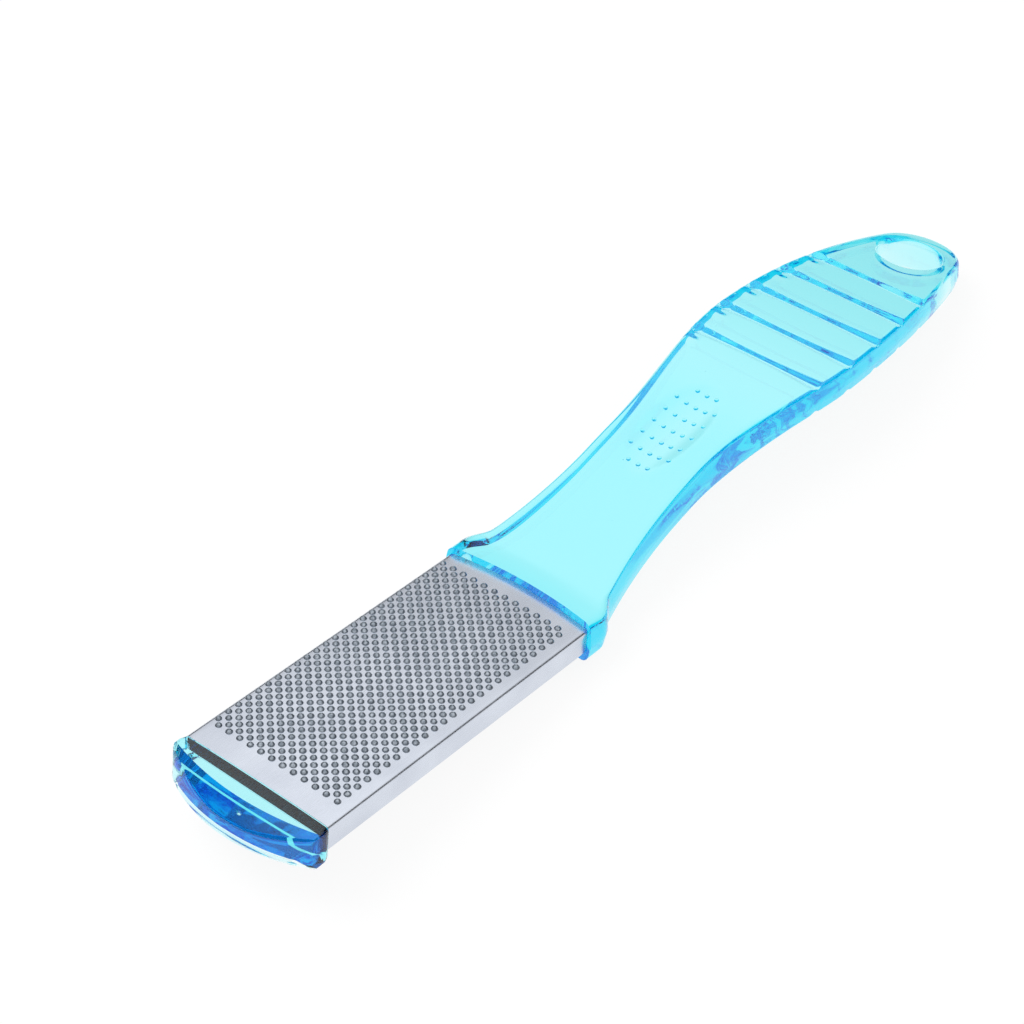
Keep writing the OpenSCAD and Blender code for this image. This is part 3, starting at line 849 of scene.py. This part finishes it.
def stage_floor():
    """Pale paper that takes the tool's shadow, and shows white to the camera and through the plastic."""
    m, t = new_material("pale paper sweep")
    path = node(t, "ShaderNodeLightPath")
    seen = node(t, "ShaderNodeMath", [(0, path, "Is Camera Ray"), (1, path, "Is Glossy Ray")],
                operation="MAXIMUM")
    paper = node(t, "ShaderNodeBsdfDiffuse", Color=linear("D8D8D8"))
    glow = node(t, "ShaderNodeEmission", Color=(1, 1, 1, 1))
    part = node(t, "ShaderNodeMath", [(0, seen, "Value")], operation="MULTIPLY")
    part.inputs[1].default_value = FLOOR_BRIGHTNESS
    share = node(t, "ShaderNodeMath", [(0, part, "Value"), (1, path, "Is Transmission Ray")],
                 operation="MAXIMUM")
    both = node(t, "ShaderNodeMixShader", [("Fac", share, "Value"), (1, paper, "BSDF"), (2, glow, "Emission")])
    node(t, "ShaderNodeOutputMaterial", [("Surface", both, "Shader")])
    bm = bmesh.new()
    bmesh.ops.create_grid(bm, x_segments=1, y_segments=1, size=FLOOR_HALF)
    mesh = bpy.data.meshes.new("floor")
    bm.to_mesh(mesh)
    bm.free()
    mesh.materials.append(m)
    obj = bpy.data.objects.new("floor", mesh)
    obj.location.z = -FLOOR_DROP
    bpy.context.scene.collection.objects.link(obj)


def studio_world():
    """White to the camera and through the plastic. In reflections it brightens with height and dims to one side.

    Directions run from 0 to 1, and 0.5 is level.
    """
    world = bpy.data.worlds.new("white studio")
    bpy.context.scene.world = world
    world.use_nodes = True
    t = world.node_tree
    t.nodes.clear()
    path = node(t, "ShaderNodeLightPath")
    seen = node(t, "ShaderNodeMath", [(0, path, "Is Camera Ray"), (1, path, "Is Transmission Ray")],
                operation="MAXIMUM")
    place = node(t, "ShaderNodeTexCoord")
    split = node(t, "ShaderNodeSeparateXYZ", [("Vector", place, "Generated")])
    rise = node(t, "ShaderNodeMapRange", [("Value", split, "Z")], interpolation_type="SMOOTHSTEP",
                From_Min=0.36, From_Max=0.62, To_Min=0.08, To_Max=1.3)
    turn = node(t, "ShaderNodeMapRange", [("Value", split, "X")], interpolation_type="SMOOTHSTEP",
                From_Min=0.58, From_Max=0.78, To_Min=1.0, To_Max=0.5)
    both = node(t, "ShaderNodeMath", [(0, rise, "Result"), (1, turn, "Result")], operation="MULTIPLY")
    level = node(t, "ShaderNodeMix", [("Factor", seen, "Value"), ("A", both, "Value")], B=1.0)
    back = node(t, "ShaderNodeBackground", [("Strength", level, "Result")], Color=(1, 1, 1, 1))
    node(t, "ShaderNodeOutputWorld", [("Surface", back, "Background")])


def softbox(name, place, power):
    """A square lamp aimed at the tool. It isn't mirrored or seen through the plastic."""
    lamp = bpy.data.lights.new(name, "AREA")
    lamp.size, lamp.energy = 0.6, power
    obj = bpy.data.objects.new(name, lamp)
    obj.location = place
    obj.rotation_mode = "QUATERNION"
    obj.rotation_quaternion = (-Vector(place)).to_track_quat("-Z", "Y")
    obj.visible_glossy = obj.visible_transmission = False
    bpy.context.scene.collection.objects.link(obj)


stage_floor()
studio_world()
softbox("key", (-0.25, 0.45, 0.7), 6)
softbox("fill", (-0.5, -0.6, 0.5), 2.5)

# Camera: the photograph's view, found from the lattice of the teeth, in the tool's own frame.
# The columns of its turn are right, up and back
CAMERA_AT = Vector((-203.48, -195.87, 271.02))
CAMERA_TURN = Matrix(((0.627946, 0.432852, -0.646779),
                      (-0.774828, 0.425634, -0.467415),
                      (0.072969, 0.794654, 0.602661)))
lens = bpy.data.cameras.new("view")
lens.sensor_width, lens.lens = 36, 90.41
camera = bpy.data.objects.new("view", lens)
camera.matrix_world = (Matrix.Translation(MM @ AT_REST @ CAMERA_AT)
                       @ (AT_REST.to_3x3() @ CAMERA_TURN).to_4x4())
bpy.context.scene.collection.objects.link(camera)
bpy.context.scene.camera = camera
bpy.context.scene.view_settings.view_transform = "Standard"

# Light runs a long way inside clear plastic, so its paths are not cut short
BOUNCES = 32
bpy.context.scene.cycles.max_bounces = BOUNCES
bpy.context.scene.cycles.transmission_bounces = BOUNCES
bpy.context.scene.cycles.glossy_bounces = BOUNCES
